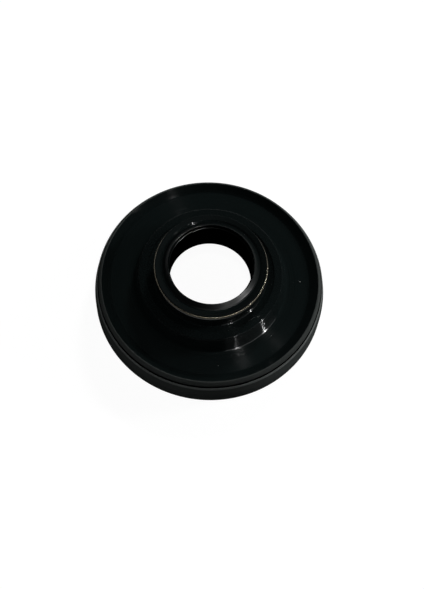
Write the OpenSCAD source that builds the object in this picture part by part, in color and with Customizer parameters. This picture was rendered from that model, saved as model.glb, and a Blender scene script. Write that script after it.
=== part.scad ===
// Drum shaft seal: a rubber moulding over a pressed steel ring, with a garter spring round its collar.
// Millimetres. The seal's axis is Z, its back lies on z = 0 and its collar points up.
// Every piece is turned: its section is a list of corners, each given as radius, height and rounding.

/* [Rim] */
// Diameter of the rim's seat, which is pressed into the housing
rim_d = 66; // [62:0.5:72]
// Height of the rim's seat above its lead-in chamfer
seat_h = 4; // [2.5:0.1:5]
// How far the rim's wall draws in above the seat, on the radius
rim_draft = 0.6; // [0.2:0.1:0.9]
// Height of the rim's crest above the back
rim_h = 10.7; // [10.2:0.1:12]
// Depth of the middle of the rim's groove below the crest
groove_drop = 1.95; // [1.8:0.05:2.4]
// Width of the rim's groove
groove_w = 0.5; // [0.3:0.05:0.8]
// Depth of the rim's groove
groove_depth = 1; // [0.7:0.05:1.2]
// Height of the lead-in chamfer at the foot of the rim
lead_in_h = 0.8; // [0.4:0.1:1.2]
// Width of the lead-in chamfer on the radius
lead_in_w = 0.45; // [0.2:0.05:0.8]
// Width of the rounded lip above the groove, from the wall to the crest
rim_lip_w = 1.3; // [1:0.05:1.6]
// How far the lip stands back from the wall below the groove
rim_lip_back = 0.5; // [0.3:0.05:0.6]
// Height of the lip's upright part above the groove
bevel_h = 0.8; // [0.5:0.05:1]
// How far the upright part leans in, on the radius
bevel_w = 0.15; // [0.05:0.05:0.3]

/* [Face] */
// Depth of the dished face below the rim's crest
face_drop = 1.4; // [0.8:0.1:1.6]
// Width of the hollow curve that rises from the face to the rim's crest
rise_w = 2.4; // [1.6:0.1:3]

/* [Hub] */
// Diameter of the hub's shoulder
shoulder_d = 40.4; // [39.4:0.1:41.6]
// Height of the hub's shoulder above the face
shoulder_h = 5.6; // [5:0.1:6.5]
// How far the hub's foot stands out from the shoulder
foot_out = 1.5; // [1:0.1:2.4]
// How far the ring step lies inside the shoulder
step_in = 2.2; // [1.8:0.1:2.8]
// Height of the ring step on the shoulder
step_h = 0.3; // [0.1:0.05:0.5]
// How far the ring step leans in
step_w = 0.1; // [0.05:0.05:0.3]
// How far the shoulder falls from the ring step to the neck
shoulder_fall = 0.5; // [0.2:0.05:0.8]

/* [Garter spring] */
// Diameter of the circle through the middle of the coil
spring_d = 30.9; // [30.5:0.1:31.5]
// Outer diameter of the spring's coil
coil_d = 1; // [0.9:0.05:1.1]
// Depth of the middle of the coil below the collar's ridge
spring_drop = 0.95; // [0.85:0.05:1.1]
// Gap between the coil and its groove
spring_gap = 0.03; // [0.02:0.01:0.06]

/* [Collar] */
// Height of the collar's ridge above the shoulder
collar_h = 5.3; // [5:0.1:6.5]
// How far the bead below the spring stands out from the coil's circle
bead_out = 0.45; // [0.4:0.05:0.6]
// Height of the collar's bead below the spring's groove
bead_h = 0.8; // [0.5:0.1:1.2]
// How far the waist lies inside the bead
waist_in = 0.4; // [0.2:0.05:0.6]
// How far the neck's foot stands out from the waist
neck_out = 0.3; // [0.1:0.05:0.5]
// How far the collar's ridge stands out from the coil's circle
ridge_out = 0.15; // [0.05:0.05:0.3]
// Width of the collar's outer slope, from the ridge in to the valley
valley_in = 1.9; // [1.6:0.1:2.2]
// Depth of the valley below the ridge
valley_depth = 0.65; // [0.3:0.05:0.9]
// Height of the mouth's edge above the collar's ridge
mouth_rise = 0.65; // [0.3:0.05:0.9]

/* [Lips] */
// Diameter of the two shaft lips as moulded, which a 25 mm shaft stretches
lip_d = 23.2; // [22.6:0.1:23.8]
// How far the mouth's edge stands back from the upper lip
mouth_out = 0.4; // [0.3:0.05:0.6]
// Depth of the upper lip's sealing edge below the mouth's edge
lip_drop = 1; // [0.8:0.1:1.4]
// Width of the small ledge above the upper lip
ledge_w = 0.3; // [0.1:0.05:0.3]
// Height of the ledge above the upper lip
ledge_h = 0.2; // [0.1:0.05:0.4]
// Length of the upper lip's land
upper_land = 0.5; // [0.3:0.1:0.8]
// Length of the lower lip's land
lower_land = 1; // [0.6:0.1:1.4]
// Length of the slope from each lip to the grease chamber
lip_slope = 1.2; // [0.8:0.1:1.6]
// Depth of the grease chamber between the lips
chamber_depth = 1.5; // [1.1:0.1:1.7]
// Thickness of the sleeve that carries the lower lip, outside the chamber
sleeve_t = 1.4; // [1.2:0.1:1.8]
// Height of the sleeve's end above the back
sleeve_z = 9.3; // [8.6:0.1:10]
// Size of the lead-in chamfer at the sleeve's end
lead_in = 0.4; // [0.2:0.05:0.6]
// How far the sleeve's outer side leans in towards its end
sleeve_draft = 0.2; // [0.1:0.05:0.4]

/* [Steel ring] */
// Thickness of the pressed steel
steel_t = 1; // [0.8:0.1:1.2]
// Inner radius of its bends
bend_r = 0.8; // [0.5:0.1:1.2]
// Thickness of the rubber outside the steel at the rim
rim_cover = 2; // [1.6:0.1:2.4]
// Thickness of the rubber over the steel at the face
face_cover = 1.9; // [1.6:0.1:2.2]
// Thickness of the rubber outside the steel at the shoulder
hub_cover = 1.8; // [1.4:0.1:2]
// Thickness of the rubber over the steel's upper end
crown_cover = 1.7; // [1.5:0.1:2.2]
// How far the rubber reaches down inside the steel's upper end
crown_wrap = 0.6; // [0.3:0.1:1]
// Thickness of the rubber toe under the steel's lower end
toe_h = 0.9; // [0.6:0.1:1.3]
// Thickness of the rubber toe inside the steel's wall
toe_t = 0.7; // [0.5:0.1:0.9]
// Height of the rubber toe inside the steel's wall
toe_top = 2.6; // [2:0.1:3.2]

/* [Roundings] */
// The rim's wall where it leaves the seat
seat_round = 1.5; // [0.8:0.1:2.5]
// The hollow curve beside the rim's crest
rise_round = 2.5; // [1.5:0.1:3]
// The outer edges of the rim's lip and of the shoulder
shoulder_round = 0.9; // [0.5:0.05:1.1]
// The hollow at the hub's foot
foot_round = 1.2; // [0.6:0.1:1.6]
// The hollow at the neck's foot
neck_round = 1.2; // [0.5:0.1:1.4]
// The soft hollows and ends: waist, grease chamber, sleeve
soft_round = 0.5; // [0.3:0.05:0.7]
// The plain edges: rim foot, crest, bead, ridge, mouth, upper lip
edge_round = 0.3; // [0.2:0.05:0.4]
// The fine edges: groove, ring step, valley, ledge, lower lip
fine_round = 0.1; // [0.05:0.01:0.12]

/* [Hidden] */

// Facets of a full turn and of the coil, and steps of a rounded corner and of the spring's groove
round_fn = 128;
coil_fn = 32;
arc_steps = 6;
groove_steps = 18;

// The arc round the coil that the groove covers, from its lower edge to its upper one
groove_from = -55;
groove_to = -290;

// The largest share of a side that one rounded corner may take
side_share = 0.49;
half_turn = 180;

// Heights above the back
seat_top_z = lead_in_h + seat_h;
groove_low_z = rim_h - groove_drop - groove_w / 2;
groove_high_z = groove_low_z + groove_w;
face_z = rim_h - face_drop;
shoulder_z = face_z + shoulder_h;
step_z = shoulder_z - step_h;
neck_z = step_z - shoulder_fall;
ridge_z = shoulder_z + collar_h;
valley_z = ridge_z - valley_depth;
mouth_z = ridge_z + mouth_rise;
spring_z = ridge_z - spring_drop;
coil_groove_r = coil_d / 2 + spring_gap;
bead_top_z = spring_z - coil_groove_r;
upper_lip_z = mouth_z - lip_drop;
lower_lip_z = sleeve_z + lead_in;
flange_z = face_z - face_cover;
crown_z = shoulder_z - crown_cover;
hollow_z = crown_z - crown_wrap;

// Radii
rim_r = rim_d / 2;
wall_r = rim_r - rim_draft;
groove_r = wall_r - groove_depth;
rim_lip_r = wall_r - rim_lip_back;
crest_r = wall_r - rim_lip_w;
shoulder_r = shoulder_d / 2;
foot_r = shoulder_r + foot_out;
step_r = shoulder_r - step_in;
spring_r = spring_d / 2;
bead_r = spring_r + bead_out;
waist_r = bead_r - waist_in;
neck_r = waist_r + neck_out;
ridge_r = spring_r + ridge_out;
valley_r = ridge_r - valley_in;
lip_r = lip_d / 2;
mouth_r = lip_r + mouth_out;
chamber_r = lip_r + chamber_depth;
sleeve_r = chamber_r + sleeve_t;
steel_rim_r = rim_r - rim_cover;
steel_hub_r = shoulder_r - hub_cover;
toe_r = steel_rim_r - steel_t - toe_t;

// One corner of a section
function corner(r, z, round = 0) = [r, z, round];

function place(p) = [p[0], p[1]];

// Points of the arc that rounds corner b between its neighbours a and c
function rounded(a, b, c) =
    let (
        to_a = place(a) - place(b),
        to_c = place(c) - place(b),
        u = to_a / norm(to_a),
        v = to_c / norm(to_c),
        half = acos(u * v) / 2,
        reach = min(b[2] / tan(half), side_share * norm(to_a), side_share * norm(to_c)),
        middle = place(b) + (u + v) * reach / (2 * cos(half) * cos(half)),
        start = place(b) + u * reach - middle,
        side = sign(v[0] * u[1] - v[1] * u[0]),
        turn = side * (half_turn - 2 * half)
    )
    [for (i = [0:arc_steps])
        let (t = turn * i / arc_steps)
        middle + [start[0] * cos(t) - start[1] * sin(t), start[0] * sin(t) + start[1] * cos(t)]];

// The outline through all corners, each rounded as far as it says and its sides allow
function outline(corners) =
    let (n = len(corners))
    [for (i = [0:n - 1])
        let (b = corners[i])
        each b[2] > 0 ? rounded(corners[(i + n - 1) % n], b, corners[(i + 1) % n]) : [place(b)]];

function backwards(list) = [for (i = [len(list) - 1:-1:0]) list[i]];

module turned(corners) {
    rotate_extrude($fn = round_fn) polygon(outline(corners));
}

// The steel's outer side, from its lower end to its upper one: the rubber is bonded all along it
steel_outer_side = [
    corner(steel_rim_r, toe_h),
    corner(steel_rim_r, flange_z, bend_r + steel_t),
    corner(steel_hub_r, flange_z, bend_r),
    corner(steel_hub_r, crown_z)
];

// The steel's inner side, from its upper end to its lower one, open to view below
steel_inner_side = [
    corner(steel_hub_r - steel_t, crown_z),
    corner(steel_hub_r - steel_t, flange_z - steel_t, bend_r + steel_t),
    corner(steel_rim_r - steel_t, flange_z - steel_t, bend_r),
    corner(steel_rim_r - steel_t, toe_h)
];

// The rim: foot, seat, drawn-in wall, groove, rounded lip and crest
rim_side = [
    corner(toe_r, 0, edge_round),
    corner(rim_r - lead_in_w, 0, fine_round),
    corner(rim_r, lead_in_h, edge_round),
    corner(rim_r, seat_top_z, seat_round),
    corner(wall_r, groove_low_z, edge_round),
    corner(groove_r, groove_low_z, fine_round),
    corner(groove_r, groove_high_z, fine_round),
    corner(rim_lip_r, groove_high_z, fine_round),
    corner(rim_lip_r - bevel_w, groove_high_z + bevel_h, shoulder_round),
    corner(crest_r, rim_h, edge_round)
];

// The face, the hub's two-step shoulder, its neck and the collar's bead
hub_side = [
    corner(crest_r - rise_w, face_z, rise_round),
    corner(foot_r, face_z, foot_round),
    corner(shoulder_r, shoulder_z, shoulder_round),
    corner(step_r, shoulder_z, fine_round),
    corner(step_r - step_w, step_z, fine_round),
    corner(neck_r, neck_z, neck_round),
    corner(waist_r, bead_top_z - bead_h, soft_round),
    corner(bead_r, bead_top_z - bead_h / 4, edge_round)
];

// The groove that holds the spring
spring_side = [
    for (t = [groove_from:(groove_to - groove_from) / groove_steps:groove_to])
        corner(spring_r + coil_groove_r * cos(t), spring_z + coil_groove_r * sin(t))
];

// The collar's top and the bore: ridge, valley, mouth, ledge, upper lip, chamber, lower lip, sleeve's end
bore_side = [
    corner(ridge_r, ridge_z, edge_round),
    corner(valley_r, valley_z, fine_round),
    corner(mouth_r, mouth_z, edge_round),
    corner(lip_r + ledge_w, upper_lip_z + ledge_h, fine_round),
    corner(lip_r, upper_lip_z, edge_round),
    corner(lip_r, upper_lip_z - upper_land, fine_round),
    corner(chamber_r, upper_lip_z - upper_land - lip_slope, soft_round),
    corner(chamber_r, lower_lip_z + lower_land + lip_slope, soft_round),
    corner(lip_r, lower_lip_z + lower_land, fine_round),
    corner(lip_r, lower_lip_z, fine_round),
    corner(lip_r + lead_in, sleeve_z, fine_round),
    corner(sleeve_r - sleeve_draft, sleeve_z, soft_round)
];

// The hollow between the sleeve and the steel, and the rubber that wraps the steel's upper end
hollow_side = [
    corner(sleeve_r, hollow_z, shoulder_round),
    corner(steel_hub_r - steel_t, hollow_z),
    corner(steel_hub_r - steel_t, crown_z)
];

// The toe that wraps the steel's lower end
toe_side = [
    corner(steel_rim_r - steel_t, toe_h),
    corner(steel_rim_r - steel_t, toe_top),
    corner(toe_r, toe_top - toe_t / 2, edge_round)
];

module rubber_body() {
    color([0.06, 0.08, 0.08])
    turned(concat(
        rim_side, hub_side, spring_side, bore_side,
        hollow_side, backwards(steel_outer_side), toe_side
    ));
}

module case_ring() {
    color("darkgray") turned(concat(steel_outer_side, steel_inner_side));
}

module garter_spring() {
    color("silver")
    rotate_extrude($fn = round_fn)
    translate([spring_r, spring_z])
    circle(d = coil_d, $fn = coil_fn);
}

rubber_body();
case_ring();
garter_spring();
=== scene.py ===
"""Drum shaft seal: a black nitrile rubber moulding over a pressed steel ring, with a wound garter spring.

Sizes are in millimetres until a mesh is made. The seal's axis is Z and its back lies on z = 0.
"""

from math import acos, ceil, cos, pi, radians, sin, tan

import bpy
from mathutils import Matrix, Vector


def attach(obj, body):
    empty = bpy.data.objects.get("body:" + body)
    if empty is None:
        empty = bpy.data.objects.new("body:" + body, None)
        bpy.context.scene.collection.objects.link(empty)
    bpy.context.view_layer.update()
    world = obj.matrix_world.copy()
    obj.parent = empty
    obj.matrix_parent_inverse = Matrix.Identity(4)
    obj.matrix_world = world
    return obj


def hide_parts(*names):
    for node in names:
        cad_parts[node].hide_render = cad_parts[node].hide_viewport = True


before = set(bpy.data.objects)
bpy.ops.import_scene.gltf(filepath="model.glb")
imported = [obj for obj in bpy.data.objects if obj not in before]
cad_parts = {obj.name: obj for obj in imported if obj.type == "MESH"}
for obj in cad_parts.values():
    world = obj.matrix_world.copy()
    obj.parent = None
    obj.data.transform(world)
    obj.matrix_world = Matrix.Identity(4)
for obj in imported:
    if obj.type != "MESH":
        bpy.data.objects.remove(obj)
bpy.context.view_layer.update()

MM = 0.001

# The rim: a smooth seat, a wall with a draft, a groove, and a lip that rises to a crest
SEAT_R = 33.0
WALL_R = 32.4
GROOVE_LOW_Z = 8.5
GROOVE_HIGH_Z = 9.0
GROOVE_R = 31.4
CREST_R = 31.1
RIM_H = 10.7

# The dished face inside the rim, and the rings that the mould's turning left on it round the hub's foot
FACE_Z = 9.3
TOOL_MARKS = (24.1, 23.4, 22.7)

# The hub's shoulder, the ridge on top of the collar, the mouth, and the lip that closes on the shaft
SHOULDER_R = 20.2
SHOULDER_Z = 14.9
RIDGE_Z = 20.2
MOUTH_R = 12.0
MOUTH_Z = 20.85
LIP_R = 11.6
LIP_Z = MOUTH_Z - 1

# The steel ring under the rubber, and where the rubber's toe and sleeve wrap its two free edges
STEEL_RIM_R = 31.0
STEEL_HUB_R = 18.4
STEEL_T = 1.0
STEEL_BEND_R = 0.8
FLANGE_Z = 7.4
CROWN_Z = 13.2
TOE_R = STEEL_RIM_R - STEEL_T - 0.7
SLEEVE_TOP_Z = CROWN_Z - 0.6

# The garter spring: its circle, its coil, its wire, and its play in the groove
SPRING_R = 15.45
SPRING_Z = 19.25
COIL_R = 0.5
WIRE_R = 0.12
GROOVE_GAP = 0.03
GROOVE_ROUND = COIL_R + GROOVE_GAP

# Roundings of the section's corners, from none to a fillet
SHARP = 0
CUT = 0.05
CRISP = 0.1
SOFT = 0.3
FILLET = 0.5

# The finishes along the section, in the order of the moulding's material slots. Two paint light: a
# highlight on the wall's top edge, and black shade in the groove, the mouth's facets and the bore
MATTE, DULL, SATIN, TURNED, POLISHED, GLOSS, SHADE_BLACK, TRIMMED, PAINTED_EDGE_LIGHT = range(9)


def linear(hex_colour):
    """Scene-linear colour of an sRGB hex value."""
    parts = [int(hex_colour[i:i + 2], 16) / 255 for i in (1, 3, 5)]
    return [p / 12.92 if p <= 0.04045 else ((p + 0.055) / 1.055) ** 2.4 for p in parts] + [1.0]


def add(tree, kind, inputs=None, **settings):
    """A new node. An input is given a socket to link from, or a value, and settings are its properties."""
    node = tree.nodes.new(kind)
    for name, value in settings.items():
        setattr(node, name, value)
    for name, value in (inputs or {}).items():
        socket = node.inputs[name]
        if kind == "ShaderNodeMix" and name in "AB":
            socket = [s for s in node.inputs if s.name == name and s.type == node.data_type][0]
        if isinstance(value, bpy.types.NodeSocket):
            tree.links.new(value, socket)
        else:
            socket.default_value = value
    return node


def new_material(name):
    """A node material and its tree, still empty."""
    material = bpy.data.materials.new(name)
    material.use_nodes = True
    tree = material.node_tree
    tree.nodes.clear()
    return material, tree


def new_object(name, verts, faces, materials):
    """A mesh object in the scene, from points in metres."""
    mesh = bpy.data.meshes.new(name)
    mesh.from_pydata(verts, [], faces)
    for material in materials:
        mesh.materials.append(material)
    obj = bpy.data.objects.new(name, mesh)
    bpy.context.scene.collection.objects.link(obj)
    return obj


# The rubber's section


def rounded(a, b, c, radius, steps):
    """Points of the arc that rounds corner b between its neighbours a and c."""
    share_of_side = 0.49
    a, b, c = Vector(a), Vector(b), Vector(c)
    u, v = (a - b).normalized(), (c - b).normalized()
    half = acos(max(-1, min(1, u.dot(v)))) / 2
    reach = min(radius / tan(half), share_of_side * (a - b).length, share_of_side * (c - b).length)
    middle = b + (u + v) * reach / (2 * cos(half) ** 2)
    start = b + u * reach - middle
    side = 1 if v.x * u.y - v.y * u.x > 0 else -1
    turn = side * (pi - 2 * half)
    return [middle + Matrix.Rotation(turn * i / steps, 2) @ start for i in range(steps + 1)]


def rubber_section():
    """Points of the rubber's outline and the finish of the stretch after each.

    Its corners run from the toe up the outside, down the bore and back along the steel. Each is a radius, a
    height, its rounding, and the finish from there to the end of the next corner's rounding.
    """
    arc_steps = 6
    fine_step, coarse_step = 0.5, 3.0
    bond_r, bond_z = 17, CROWN_Z + 0.1
    corners = rim_corners() + tool_mark_corners() + hub_corners() + spring_groove_corners()
    corners += mouth_corners() + bore_corners() + bond_corners()
    points = []
    for i, (r, z, radius, finish) in enumerate(corners):
        if radius:
            before, after = corners[i - 1][:2], corners[(i + 1) % len(corners)][:2]
            arc = rounded(before, (r, z), after, radius, arc_steps)
            points += [(p, corners[i - 1][3]) for p in arc[:-1]] + [(arc[-1], finish)]
        else:
            points.append((Vector((r, z)), finish))
    section = []
    for i, (p, finish) in enumerate(points):
        q = points[(i + 1) % len(points)][0]
        # Glossy stretches this far out lie against the steel, out of sight, so long steps do there
        hidden = finish == GLOSS and min(p.x, q.x) > bond_r and max(p.y, q.y) < bond_z
        steps = max(1, ceil((q - p).length / (coarse_step if hidden else fine_step)))
        section += [(p.lerp(q, k / steps), finish) for k in range(steps)]
    return section


def rim_corners():
    """The toe, the seat and its lead-in, the groove, the lip up to its crest, and the rise inside it."""
    lead_in_w, lead_in_h = 0.45, 0.8
    seat_top_z, seat_top_round = 4.8, 1.5
    lit_band_w, lit_band_h = 0.11, 0.7
    lip_r = WALL_R - 0.5
    lip_lean, lip_h, lip_round = 0.15, 0.8, 0.9
    rise_r, rise_h, rise_round = 29.13, 0.25, 2.5
    face_r, face_round = 28.51, 1
    return [
        (TOE_R, 0, SOFT, MATTE), (SEAT_R - lead_in_w, 0, CRISP, MATTE), (SEAT_R, lead_in_h, SOFT, MATTE),
        (SEAT_R, seat_top_z, seat_top_round, MATTE),
        # The wall's top band and its edge carry a painted highlight
        (WALL_R + lit_band_w, GROOVE_LOW_Z - lit_band_h, SHARP, PAINTED_EDGE_LIGHT), (WALL_R, GROOVE_LOW_Z, SOFT, SHADE_BLACK),
        # The groove: painted shade, black and without reflection
        (GROOVE_R, GROOVE_LOW_Z, CRISP, SHADE_BLACK), (GROOVE_R, GROOVE_HIGH_Z, CRISP, SHADE_BLACK),
        (lip_r, GROOVE_HIGH_Z, CRISP, MATTE), (lip_r - lip_lean, GROOVE_HIGH_Z + lip_h, lip_round, MATTE),
        (CREST_R, RIM_H, SOFT, DULL),
        (rise_r, FACE_Z + rise_h, rise_round, DULL), (face_r, FACE_Z, face_round, TURNED),
    ]


def tool_mark_corners():
    """A shallow V for each ring that the mould's turning left on the face."""
    half_width, depth = 0.09, 0.026
    corners = []
    for r in TOOL_MARKS:
        corners += [
            (r + half_width, FACE_Z, SHARP, TURNED), (r, FACE_Z - depth, SHARP, TURNED),
            (r - half_width, FACE_Z, SHARP, TURNED),
        ]
    return corners


def hub_corners():
    """The hub's foot and flank, its shoulder's edge and step, and the neck up to the spring's bead."""
    foot_w, foot_round = 1.5, 1.2
    flank_w, flank_drop = 0.13, 0.3
    edge_w, edge_drop, edge_in, edge_round = 0.02, 0.06, 0.06, 0.15
    step_r = SHOULDER_R - 2.2
    step_w, step_drop = 0.1, 0.3
    neck_foot_r, neck_foot_drop, neck_foot_round = 15.8, 0.8, 0.4
    neck_r, neck_drop = 15.5, 0.8
    bead_r, bead_drop = 15.9, 0.2
    bead_z = SPRING_Z - GROOVE_ROUND
    return [
        (SHOULDER_R + foot_w, FACE_Z, foot_round, POLISHED),
        (SHOULDER_R + flank_w, SHOULDER_Z - flank_drop, SHARP, DULL),
        (SHOULDER_R + edge_w, SHOULDER_Z - edge_drop, CRISP, POLISHED),
        (SHOULDER_R - edge_in, SHOULDER_Z, edge_round, POLISHED),
        (step_r, SHOULDER_Z, CRISP, POLISHED), (step_r - step_w, SHOULDER_Z - step_drop, CRISP, POLISHED),
        (neck_foot_r, SHOULDER_Z - neck_foot_drop, neck_foot_round, GLOSS),
        (neck_r, bead_z - neck_drop, FILLET, GLOSS), (bead_r, bead_z - bead_drop, SOFT, GLOSS),
    ]


def spring_groove_corners():
    """Points round the spring's coil, past its middle, so that the groove holds it."""
    start, sweep, steps = -55, -235, 18
    angles = [radians(start + sweep * i / steps) for i in range(steps + 1)]
    around = [(GROOVE_ROUND * cos(t), GROOVE_ROUND * sin(t)) for t in angles]
    return [(SPRING_R + out, SPRING_Z + up, SHARP, DULL) for out, up in around]


def mouth_corners():
    """The collar's ridge and valley, the facets that a knife cut round the mouth, and the lip's edge."""
    ridge_r = 15.68
    slope_r, slope_drop = 14.2, 0.25
    valley_r, valley_drop = 13.65, 0.5
    rise_r, rise_drop = 13.2, 0.35
    corners = [
        (ridge_r, RIDGE_Z, SOFT, GLOSS), (slope_r, RIDGE_Z - slope_drop, CRISP, POLISHED),
        (valley_r, RIDGE_Z - valley_drop, CRISP, SATIN), (rise_r, RIDGE_Z - rise_drop, FILLET, SATIN),
    ]
    # How far outside the mouth or the lip and how far below it, then rounding and finish
    # Below the trimmed edges, the mouth's and the lip's facets take painted shade
    mouth = ((0.18, 0.02, CRISP, TRIMMED), (0.03, 0.04, 0.15, SHADE_BLACK), (-0.13, 0.45, CUT, SHADE_BLACK))
    lip = (
        (0.25, 0.2, CUT, TRIMMED), (0.08, 0.25, 0.12, SHADE_BLACK), (0, 0.35, CUT, SHADE_BLACK), (0, 0.5, CRISP, SHADE_BLACK))
    for r, z, edge in ((MOUTH_R, MOUTH_Z, mouth), (LIP_R, LIP_Z, lip)):
        corners += [(r + out, z - down, rounding, finish) for out, down, rounding, finish in edge]
    return corners


def bore_corners():
    """The grease chamber, the lower lip, and the sleeve that hides the steel's tube from the shaft."""
    chamber_r, chamber_drop, chamber_rise = 13.1, 1.7, 2.6
    sleeve_r, sleeve_z, sleeve_toe_w, sleeve_round = 14.5, 9.3, 0.2, 0.9
    lower_lip_top, lower_lip_low, lower_lip_w = 1.4, 0.4, 0.4
    # All of the bore takes painted shade
    return [
        (chamber_r, LIP_Z - chamber_drop, FILLET, SHADE_BLACK),
        (chamber_r, sleeve_z + chamber_rise, FILLET, SHADE_BLACK),
        (LIP_R, sleeve_z + lower_lip_top, CRISP, SHADE_BLACK), (LIP_R, sleeve_z + lower_lip_low, CRISP, SHADE_BLACK),
        (LIP_R + lower_lip_w, sleeve_z, CRISP, SHADE_BLACK),
        (sleeve_r - sleeve_toe_w, sleeve_z, FILLET, SHADE_BLACK), (sleeve_r, SLEEVE_TOP_Z, sleeve_round, SHADE_BLACK),
    ]


def bond_corners():
    """Along the steel, from the top of its tube, under the flange and round its free edge."""
    tube_r, wrap_r = STEEL_HUB_R - STEEL_T, STEEL_RIM_R - STEEL_T
    toe_h, toe_top, toe_slope = 0.9, 2.6, 0.35
    return [
        (tube_r, SLEEVE_TOP_Z, SHARP, GLOSS), (tube_r, CROWN_Z, SHARP, GLOSS),
        (STEEL_HUB_R, CROWN_Z, SHARP, GLOSS), (STEEL_HUB_R, FLANGE_Z, STEEL_BEND_R, GLOSS),
        (STEEL_RIM_R, FLANGE_Z, STEEL_BEND_R + STEEL_T, GLOSS), (STEEL_RIM_R, toe_h, SHARP, GLOSS),
        (wrap_r, toe_h, SHARP, GLOSS), (wrap_r, toe_top, SHARP, GLOSS),
        (TOE_R, toe_top - toe_slope, SOFT, MATTE),
    ]


def lathe(name, section, materials):
    """A closed section turned about Z, with a finish for each of its stretches."""
    rings, sharp_angle = 228, 35
    count = len(section)
    verts = []
    for k in range(rings):
        angle = 2 * pi * k / rings
        x, y = cos(angle) * MM, sin(angle) * MM
        verts += [(p.x * x, p.x * y, p.y * MM) for p, _ in section]
    faces, finishes = [], []
    for k in range(rings):
        near, far = k * count, (k + 1) % rings * count
        for i in range(count):
            j = (i + 1) % count
            faces.append((near + i, far + i, far + j, near + j))
            finishes.append(section[i][1])
    obj = new_object(name, verts, faces, materials)
    obj.data.polygons.foreach_set("material_index", finishes)
    obj.data.shade_smooth()
    obj.data.set_sharp_from_angle(angle=radians(sharp_angle))
    return obj


def wound_spring(name, material):
    """The garter spring: fine wire wound into a close coil, which closes on itself in a ring."""
    coil_points, wire_sides = 12, 6
    # The turns all but touch: their pitch, in thicknesses of the wire
    spacing = 1.02
    pitch = 2 * WIRE_R * spacing
    coils = round(2 * pi * SPRING_R / pitch)
    helix_r = COIL_R - WIRE_R
    total = coils * coil_points

    def centre(k):
        """The wire's middle at its k-th point."""
        ring, coil = 2 * pi * k / total, 2 * pi * k / coil_points
        r = SPRING_R + helix_r * cos(coil)
        return Vector((r * cos(ring), r * sin(ring), SPRING_Z + helix_r * sin(coil)))

    verts, faces = [], []
    for k in range(total):
        here = centre(k)
        along = (centre(k + 1) - centre(k - 1)).normalized()
        ring = 2 * pi * k / total
        core = Vector((SPRING_R * cos(ring), SPRING_R * sin(ring), SPRING_Z))
        out = (here - core).normalized()
        side = along.cross(out).normalized()
        out = side.cross(along)
        for i in range(wire_sides):
            t = 2 * pi * i / wire_sides
            verts.append((here + (out * cos(t) + side * sin(t)) * WIRE_R) * MM)
        near, far = k * wire_sides, (k + 1) % total * wire_sides
        for i in range(wire_sides):
            j = (i + 1) % wire_sides
            faces.append((near + i, near + j, far + j, far + i))
    obj = new_object(name, verts, faces, [material])
    obj.data.shade_smooth()
    return obj


# Materials


def rubber(name, colour, roughness, level, anisotropic=0.0, rings=0.0, wave=0.0, specks=()):
    """Nitrile rubber. Level is how much it mirrors, where clean new rubber has about 0.5.

    Rings and wave are how deep the mould's turning marks and its unevenness are, in millimetres. Specks are
    where dust lies on it.
    """
    # How far apart the unevenness, the turning marks and the duller patches lie
    wave_size, ring_pitch, cloud_size = 2.5, 0.35, 6
    # The real grain is some 0.02 mm and too fine to show, so it is drawn coarser
    grain_size, grain_depth = 0.4, 0.0015
    cloud_low, cloud_high, rough_spread, tone_spread = 0.3, 0.7, 0.12, 0.2
    quarter_turn = 0.25
    dust = linear("#7c7e7a")
    material, tree = new_material(name)
    place = add(tree, "ShaderNodeTexCoord").outputs["Object"]

    swell = add(tree, "ShaderNodeTexNoise", {
        "Vector": place, "Scale": 1 / (wave_size * MM), "Detail": 1.0})
    grain = add(tree, "ShaderNodeTexNoise", {
        "Vector": place, "Scale": 1 / (grain_size * MM), "Detail": 3.0})
    reliefs = [(swell, wave), (grain, grain_depth)]
    if rings:
        flat = add(tree, "ShaderNodeVectorMath", {0: place, 1: (1, 1, 0)}, operation="MULTIPLY")
        radius = add(tree, "ShaderNodeVectorMath", {0: flat.outputs[0]}, operation="LENGTH")
        marks = add(tree, "ShaderNodeTexNoise", {
            "W": radius.outputs["Value"], "Scale": 1 / (ring_pitch * MM), "Detail": 1.0},
            noise_dimensions="1D")
        reliefs.insert(1, (marks, rings))
    bump = None
    for relief, depth in reliefs:
        inputs = {"Height": relief.outputs["Fac"], "Strength": 1.0, "Distance": depth * MM}
        if bump:
            inputs["Normal"] = bump.outputs[0]
        bump = add(tree, "ShaderNodeBump", inputs)

    cloud = add(tree, "ShaderNodeTexNoise", {
        "Vector": place, "Scale": 1 / (cloud_size * MM), "Detail": 4.0})
    rough = add(tree, "ShaderNodeMapRange", {
        "Value": cloud.outputs["Fac"], "From Min": cloud_low, "From Max": cloud_high,
        "To Min": roughness * (1 - rough_spread), "To Max": roughness * (1 + rough_spread)})

    tone = linear(colour)[:3]
    shade = add(tree, "ShaderNodeMix", {
        "Factor": grain.outputs["Fac"], "A": [c * (1 - tone_spread) for c in tone] + [1.0],
        "B": [c * (1 + tone_spread) for c in tone] + [1.0]}, data_type="RGBA").outputs[2]
    for x, y, z, reach in specks:
        away = add(tree, "ShaderNodeVectorMath", {
            0: place, 1: (x * MM, y * MM, z * MM)}, operation="DISTANCE")
        fleck = add(tree, "ShaderNodeMath", {
            0: away.outputs["Value"], 1: reach * MM}, operation="LESS_THAN")
        shade = add(tree, "ShaderNodeMix", {
            "Factor": fleck.outputs[0], "A": shade, "B": dust}, data_type="RGBA").outputs[2]

    tangent = add(tree, "ShaderNodeTangent", direction_type="RADIAL", axis="Z")
    shader = add(tree, "ShaderNodeBsdfPrincipled", {
        "Base Color": shade, "Roughness": rough.outputs[0], "IOR": 1.52, "Specular IOR Level": level,
        "Anisotropic": anisotropic, "Anisotropic Rotation": quarter_turn,
        "Normal": bump.outputs[0], "Tangent": tangent.outputs[0]})
    add(tree, "ShaderNodeOutputMaterial", {"Surface": shader.outputs[0]})
    return material


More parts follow.
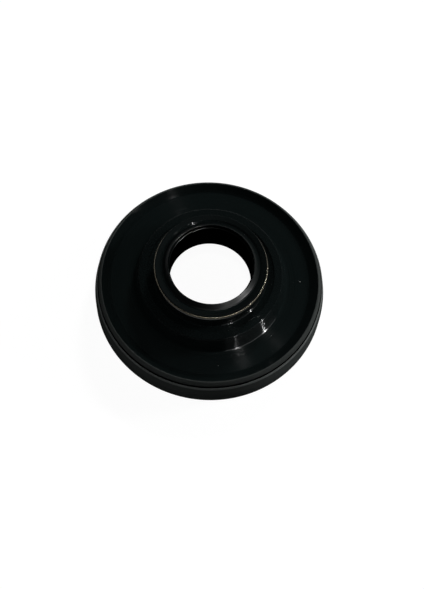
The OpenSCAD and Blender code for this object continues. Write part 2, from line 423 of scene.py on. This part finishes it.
def steel(name, colour, roughness, groove_shade=None):
    """Steel. Its lower part can take painted shade: a darker colour and two heights, full below the first,
    gone above the second.
    """
    # The real grain is some hundredths of a millimetre and too fine to show, so it is drawn coarser
    grain_size, grain_depth, grain_strength = 0.8, 0.01, 0.1
    material, tree = new_material(name)
    place = add(tree, "ShaderNodeTexCoord").outputs["Object"]
    tone = linear(colour)
    # Painted shade: darker towards the bottom, where the wire lies down in the groove
    if groove_shade:
        shade_colour, full_z, gone_z = groove_shade
        height = add(tree, "ShaderNodeSeparateXYZ", {"Vector": place}).outputs["Z"]
        unshaded = add(tree, "ShaderNodeMapRange", {
            "Value": height, "From Min": full_z * MM, "From Max": gone_z * MM})
        tone = add(tree, "ShaderNodeMix", {
            "Factor": unshaded.outputs[0], "A": linear(shade_colour), "B": tone}, data_type="RGBA").outputs[2]
    grain = add(tree, "ShaderNodeTexNoise", {
        "Vector": place, "Scale": 1 / (grain_size * MM), "Detail": 3.0})
    bump = add(tree, "ShaderNodeBump", {
        "Height": grain.outputs["Fac"], "Strength": grain_strength, "Distance": grain_depth * MM})
    shader = add(tree, "ShaderNodeBsdfPrincipled", {
        "Base Color": tone, "Roughness": roughness, "Metallic": 1.0, "Normal": bump.outputs[0]})
    add(tree, "ShaderNodeOutputMaterial", {"Surface": shader.outputs[0]})
    return material


# The pieces

# Dust that lies on the seal in the photograph: where each speck is, and its radius
FACE_SPECKS = (
    (25.8, 2.0, FACE_Z, 0.15), (25.5, 2.1, FACE_Z, 0.12),
    (4.2, -25.5, FACE_Z, 0.09), (18.4, -15.3, FACE_Z, 0.09),
)
HUB_SPECKS = ((14.4, -12.0, SHOULDER_Z, 0.08), (14.1, -12.2, SHOULDER_Z, 0.08))

# Where the rubber mirrors less than clean new rubber does, a thin dull bloom lies on it
moulding = lathe("rubber_moulding", rubber_section(), [
    # The rim's wall: fine moulded grain without shine, so it shows as a soft grey band
    rubber("matte_nitrile_rubber", "#3a3d3c", roughness=0.6, level=0.0, wave=0.01),
    # The rise inside the rim, the spring's groove and the shoulder's outer line: dull, with one faint glint
    rubber("dull_nitrile_rubber", "#0d1212", roughness=0.2, level=0.03, anisotropic=1.0, wave=0.01),
    # The collar's inner slope: cut, not moulded, so lamps spread to soft pale patches on it
    rubber("satin_nitrile_rubber", "#080c0c", roughness=0.36, level=0.25, wave=0.01),
    # The dished face: a mould turned on a lathe leaves fine rings, which draw each glint out to a streak
    rubber("turned_mould_nitrile_rubber", "#0c1212", roughness=0.15, level=0.55, anisotropic=1.0,
           rings=0.03, wave=0.005, specks=FACE_SPECKS),
    # The hub and the collar's slope: the same rings but polished finer, for narrow streaks and bright edges
    rubber("polished_hub_nitrile_rubber", "#0e1313", roughness=0.13, level=0.2, anisotropic=1.0,
           rings=0.01, wave=0.01, specks=HUB_SPECKS),
    # The neck, the bead and the collar's ridge: glossy, for the white spot below the spring
    rubber("glossy_nitrile_rubber", "#0c1010", roughness=0.16, level=0.6, wave=0.02),
    # The bore, the rim's groove and the steep facets inside the mouth: painted shade, near black and
    # without reflection, so these hollows stay dark
    rubber("painted_shade_bore_rubber", "#010202", roughness=0.5, level=0.0, wave=0.01),
    # The lip's edge, trimmed by a knife: thin bright arcs at the mouth
    rubber("trimmed_lip_nitrile_rubber", "#060909", roughness=0.22, level=0.7, wave=0.02),
    # The wall's upper edge: a painted highlight in pale grey, for the thin light line below the groove
    rubber("painted_highlight_edge_rubber", "#5e6160", roughness=0.6, level=0.0, wave=0.01),
])
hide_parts("rubber_body")
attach(moulding, "root")

# Cold drawn wire with painted shade on its lower half, down in the groove: a thin warm ring, beaded by its
# turns
shaded_z, unshaded_z = SPRING_Z + 0.35 * COIL_R, SPRING_Z + 0.75 * COIL_R
spring = wound_spring("wound_garter_spring", steel(
    "drawn_spring_wire", "#857f70", roughness=0.25, groove_shade=("#2c2a22", shaded_z, unshaded_z)))
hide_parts("garter_spring")
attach(spring, "root")

# Pressed steel under a grey phosphate coat, for a plain dull ring in the back
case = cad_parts["case_ring"]
case.material_slots[0].material = steel("pressed_case_steel", "#8d8f8e", roughness=0.4)


# Camera, light and floor. Directions are an azimuth and an elevation in degrees.


def towards(azimuth, elevation):
    """The unit vector from the seal in that direction."""
    a, e = radians(azimuth), radians(elevation)
    return Vector((cos(a) * cos(e), sin(a) * cos(e), sin(e)))


def make_camera():
    """The photograph's viewing angle: high above the near side, turned a little about its own axis."""
    elevation, roll = radians(66.5), radians(4.61)
    distance, aside, above = 351.7, 0.89, -0.12
    sensor_size, focal_pixels, photo_height = 36, 1200, 589
    forward = Vector((0, cos(elevation), -sin(elevation)))
    right = Vector((1, 0, 0))
    up = right.cross(forward)
    data = bpy.data.cameras.new("camera")
    data.sensor_width = sensor_size
    data.lens = focal_pixels * sensor_size / photo_height
    data.clip_start, data.clip_end = 0.01, 10
    camera = bpy.data.objects.new("camera", data)
    spot = (-distance * forward + aside * right + above * up) * MM
    rolled_right = cos(roll) * right + sin(roll) * up
    rolled_up = -sin(roll) * right + cos(roll) * up
    turn = Matrix((rolled_right, rolled_up, -forward)).transposed().to_4x4()
    camera.matrix_world = Matrix.Translation(spot) @ turn
    bpy.context.scene.collection.objects.link(camera)
    bpy.context.scene.camera = camera


def place_lamp(name, data, position, across, shows):
    """Aims a lamp at the seal. It lights only the surfaces' own colour, or only their highlights."""
    away = position.normalized()
    up = away.cross(across).normalized()
    turn = Matrix((up.cross(away), up, away)).transposed().to_4x4()
    lamp = bpy.data.objects.new(name, data)
    lamp.matrix_world = Matrix.Translation(position) @ turn
    lamp.visible_diffuse = shows == "colour"
    lamp.visible_glossy = shows == "highlights"
    bpy.context.scene.collection.objects.link(lamp)


def make_sun(name, azimuth, elevation, strength, width, shows):
    """A far lamp that looks that many degrees wide."""
    data = bpy.data.lights.new(name, "SUN")
    data.energy = strength
    data.angle = radians(width)
    place_lamp(name, data, towards(azimuth, elevation), Vector((0, 0, 1)), shows)


def make_strip(name, start, end, thickness, radiance, shows):
    """A long soft light whose ends lie in two directions. Its distance and thickness are in metres."""
    distance = 0.8
    start, end = towards(*start), towards(*end)
    middle = (start + end).normalized()
    half = start.angle(end) / 2
    data = bpy.data.lights.new(name, "AREA")
    data.shape = "RECTANGLE"
    data.size, data.size_y = 2 * distance * tan(half), thickness
    data.energy = radiance * pi * data.size * data.size_y
    place_lamp(name, data, middle * distance, end - start, shows)


def make_floor():
    """A wide sheet, white to the eye and in mirrored light, yet grey in the light that it throws back."""
    reach, drop = 5000, 0.02
    sides = 64
    paper, glow_strength = "#606060", 0.95
    material, tree = new_material("white_paper")
    path = add(tree, "ShaderNodeLightPath")
    seen = path.outputs["Is Camera Ray"]
    for ray in ("Is Glossy Ray", "Is Transmission Ray"):
        either = add(tree, "ShaderNodeMath", {0: seen, 1: path.outputs[ray]}, operation="MAXIMUM")
        seen = either.outputs[0]
    lift = add(tree, "ShaderNodeMath", {0: seen, 1: glow_strength}, operation="MULTIPLY")
    matte = add(tree, "ShaderNodeBsdfDiffuse", {"Color": linear(paper)})
    glow = add(tree, "ShaderNodeEmission", {"Strength": lift.outputs[0]})
    both = add(tree, "ShaderNodeAddShader", {0: matte.outputs[0], 1: glow.outputs[0]})
    add(tree, "ShaderNodeOutputMaterial", {"Surface": both.outputs[0]})
    angles = [2 * pi * k / sides for k in range(sides)]
    verts = [(reach * MM * cos(t), reach * MM * sin(t), -drop * MM) for t in angles]
    floor = new_object("floor", verts, [list(range(sides))], [material])


def make_world():
    """Dim light all round, stronger from above the right."""
    bright_side = towards(10, 45)
    edge, core, dim, bright = 0.5, 0.8, 0.01, 0.06
    world = bpy.data.worlds.new("world")
    bpy.context.scene.world = world
    world.use_nodes = True
    tree = world.node_tree
    background = tree.nodes["Background"]
    place = add(tree, "ShaderNodeTexCoord").outputs["Generated"]
    facing = add(tree, "ShaderNodeVectorMath", {0: place, 1: bright_side}, operation="DOT_PRODUCT")
    strength = add(tree, "ShaderNodeMapRange", {
        "Value": facing.outputs["Value"], "From Min": edge, "From Max": core,
        "To Min": dim, "To Max": bright}, interpolation_type="SMOOTHSTEP")
    background.inputs["Color"].default_value = linear("#c8dcdc")
    tree.links.new(strength.outputs[0], background.inputs["Strength"])


make_camera()

# Highlights alone: small lamps, seen as streaks and spots, and a window's long soft reflection
make_sun("low_glint", azimuth=-19.5, elevation=29.2, strength=2.6, width=2.5, shows="highlights")
make_sun("high_glint", azimuth=-33, elevation=70, strength=0.26, width=1.5, shows="highlights")
make_sun("mid_glint", azimuth=-54, elevation=31, strength=0.3, width=2.5, shows="highlights")
make_strip("window_strip", (-66, 37), (-5, 25), thickness=0.25, radiance=1.6, shows="highlights")

# The surfaces' own colour alone: plain soft light, stronger on the right of the rim than on its left
make_sun("key_light", azimuth=72, elevation=33, strength=1.45, width=10, shows="colour")
make_sun("low_light", azimuth=18, elevation=20, strength=1.15, width=10, shows="colour")
make_sun("top_light", azimuth=270, elevation=80, strength=0.42, width=10, shows="colour")
make_strip("right_light", (0, 12), (40, 12), thickness=0.3, radiance=6, shows="colour")
make_strip("left_light", (190, 15), (250, 15), thickness=0.3, radiance=0.9, shows="colour")

make_floor()
make_world()
bpy.context.scene.view_settings.view_transform = "Standard"
